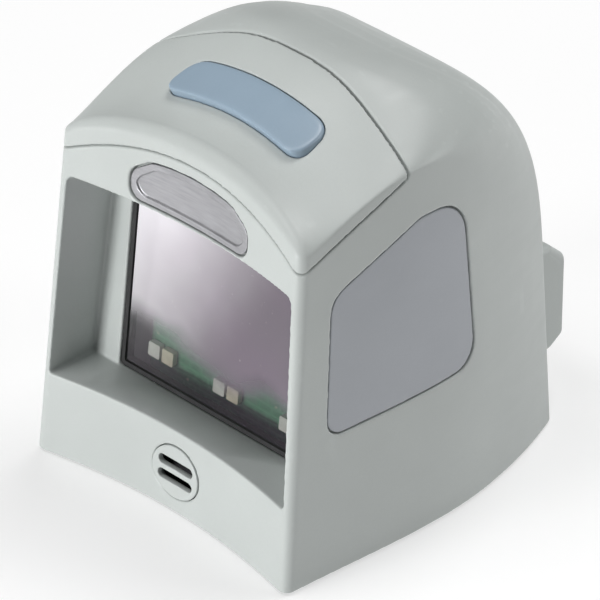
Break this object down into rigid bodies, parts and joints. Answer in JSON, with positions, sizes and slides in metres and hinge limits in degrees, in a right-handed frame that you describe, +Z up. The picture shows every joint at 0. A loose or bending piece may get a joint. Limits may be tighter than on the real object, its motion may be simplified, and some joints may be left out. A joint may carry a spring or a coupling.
{
  "type": "presentation barcode scanner",
  "caption": "Compact hands-free scanner: arched housing, recessed scan window with lamps and imager behind it, press button on its hood and a cable socket at the back.",
  "frame": {"origin": "centre of the overall box, on the surface that the feet rest on", "axes": "+Z up; -Y is the front with the scan window, +Y the back with the cable block; +X the side on the right when looking at the front"},
  "size_m": [0.0758, 0.092, 0.0916],
  "materials": {
    "shell_plastic": "fine matt, light warm grey",
    "panel_plastic": "matt, cooler mid grey",
    "button_plastic": "satin, blue grey",
    "badge_plate": "satin grey",
    "black_plastic": "matt black",
    "rubber": "matt black",
    "window_glass": "clear with a faint violet coating",
    "lens_glass": "coated lens",
    "board_green": "green solder resist",
    "lamp_white": "milky white",
    "lamp_amber": "amber resin",
    "steel": "zinc plated",
    "gold": "bright",
    "ribbon": "amber film"
  },
  "bodies": {
    "housing": {"main_shell": "shell_plastic", "top_cover": "shell_plastic", "speaker_grille": "shell_plastic", "cable_block": "shell_plastic", "side_panel_left": "panel_plastic", "side_panel_right": "panel_plastic", "badge_plate": "badge_plate", "window_gasket": "rubber", "foot_front_left": "rubber", "foot_front_right": "rubber", "foot_rear_left": "rubber", "foot_rear_right": "rubber", "window_glass": "window_glass", "front_lens": "lens_glass", "lamp_board": "board_green", "main_board": "board_green", "button_board": "board_green", "lamp_white_1": "lamp_white", "lamp_white_2": "lamp_white", "lamp_white_3": "lamp_white", "button_lamp_left": "lamp_white", "button_lamp_right": "lamp_white", "lamp_amber_1": "lamp_amber", "lamp_amber_2": "lamp_amber", "lamp_amber_3": "lamp_amber", "imager_body": "black_plastic", "lens_barrel": "black_plastic", "processor_chip": "black_plastic", "ribbon_socket": "black_plastic", "cable_socket": "black_plastic", "switch_body": "black_plastic", "beeper": "black_plastic", "base_plate": "black_plastic", "imager_bracket": "steel", "block_screw_left": "steel", "block_screw_right": "steel", "board_screw_left": "steel", "board_screw_right": "steel", "base_screw_front_left": "steel", "base_screw_front_right": "steel", "base_screw_rear_left": "steel", "base_screw_rear_right": "steel", "socket_contacts": "gold", "flex_ribbon": "ribbon"},
    "button": {"trigger_button": "button_plastic"},
    "plunger": {"switch_plunger": "panel_plastic"}
  },
  "joints": [
    {"name": "button_press", "type": "slide", "parent": "housing", "child": "button", "axis": [0, 0.4695, -0.8829], "range_m": [0, 0.0008], "stiffness_N_per_m": 1200},
    {"name": "switch_plunge", "type": "slide", "parent": "housing", "child": "plunger", "axis": [0, 0.4695, -0.8829], "range_m": [0, 0.0008]}
  ],
  "couplings": [
    {"joint": "switch_plunge", "follows": "button_press", "ratio": 1}
  ]
}
